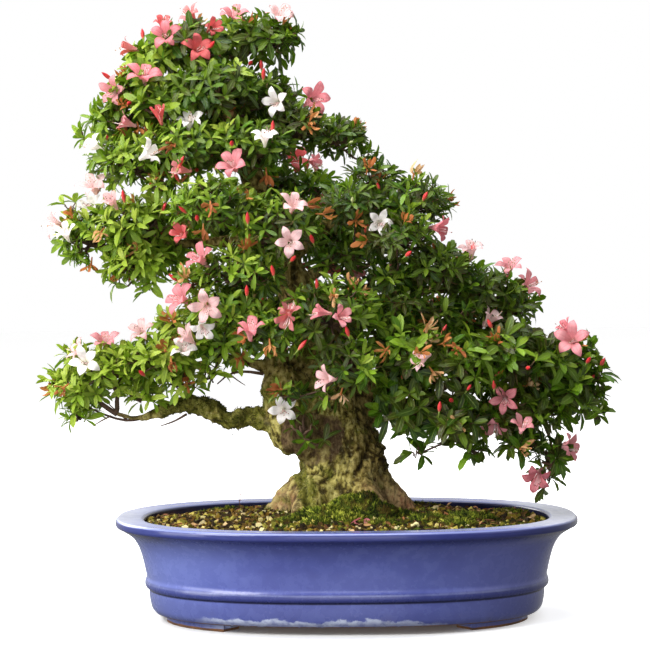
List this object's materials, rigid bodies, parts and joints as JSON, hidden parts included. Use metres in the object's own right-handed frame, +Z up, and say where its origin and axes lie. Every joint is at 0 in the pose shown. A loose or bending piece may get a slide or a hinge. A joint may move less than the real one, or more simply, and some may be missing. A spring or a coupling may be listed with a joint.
{
  "type": "satsuki azalea bonsai",
  "caption": "Satsuki azalea bonsai in full bloom, with flared roots, a tapering trunk and layered leafy boughs, planted in a low oval glazed pot on cloud feet.",
  "frame": {"origin": "on the surface the pot stands on, under the middle of the tree's and pot's common box", "axes": "+Z up, -Y towards the front of the tree, +X to the right seen from the front, along the pot's length"},
  "size_m": [0.6964, 0.43, 0.7333],
  "materials": {
    "glazed_stoneware": "glossy blue-violet glaze over stoneware, unglazed brown clay under the feet",
    "screen_plastic": "matte moulded mesh",
    "soil": "granular soil under moss and dry debris",
    "bark": "matte ridged bark with moss in its hollows",
    "leaf": "satin leaf, lighter below",
    "petal_coral": "soft translucent petal",
    "petal_pink": "soft translucent petal",
    "petal_pale": "soft translucent petal",
    "petal_white": "soft translucent petal"
  },
  "bodies": {
    "root": {"bloom_coral_01": "petal_coral", "bloom_coral_02": "petal_coral", "bloom_coral_03": "petal_coral", "bloom_coral_04": "petal_coral", "bloom_pale_01": "petal_pale", "bloom_pale_02": "petal_pale", "bloom_pale_03": "petal_pale", "bloom_pale_04": "petal_pale", "bloom_pale_05": "petal_pale", "bloom_pale_06": "petal_pale", "bloom_pale_07": "petal_pale", "bloom_pink_01": "petal_pink", "bloom_pink_02": "petal_pink", "bloom_pink_03": "petal_pink", "bloom_pink_04": "petal_pink", "bloom_pink_05": "petal_pink", "bloom_pink_06": "petal_pink", "bloom_pink_07": "petal_pink", "bloom_pink_08": "petal_pink", "bloom_pink_09": "petal_pink", "bloom_pink_10": "petal_pink", "bloom_pink_11": "petal_pink", "bloom_pink_12": "petal_pink", "bloom_pink_13": "petal_pink", "bloom_pink_14": "petal_pink", "bloom_pink_15": "petal_pink", "bloom_pink_16": "petal_pink", "bloom_white_01": "petal_white", "bloom_white_02": "petal_white", "bloom_white_03": "petal_white", "bloom_white_04": "petal_white", "bloom_white_05": "petal_white", "drain_screen_left": "screen_plastic", "drain_screen_right": "screen_plastic", "foliage_apex": "leaf", "foliage_back_low": "leaf", "foliage_back_middle": "leaf", "foliage_back_right": "leaf", "foliage_back_upper": "leaf", "foliage_centre": "leaf", "foliage_hanging_spray": "leaf", "foliage_left_wing": "leaf", "foliage_low_centre": "leaf", "foliage_low_left": "leaf", "foliage_low_right": "leaf", "foliage_low_right_end": "leaf", "foliage_middle_left": "leaf", "foliage_right_middle": "leaf", "foliage_right_shoulder": "leaf", "foliage_trunk_spray": "leaf", "foliage_upper_left": "leaf", "foliage_upper_middle": "leaf", "foliage_upper_right": "leaf", "pot": "glazed_stoneware", "soil": "soil", "tree_wood": "bark"}
  },
  "joints": []
}
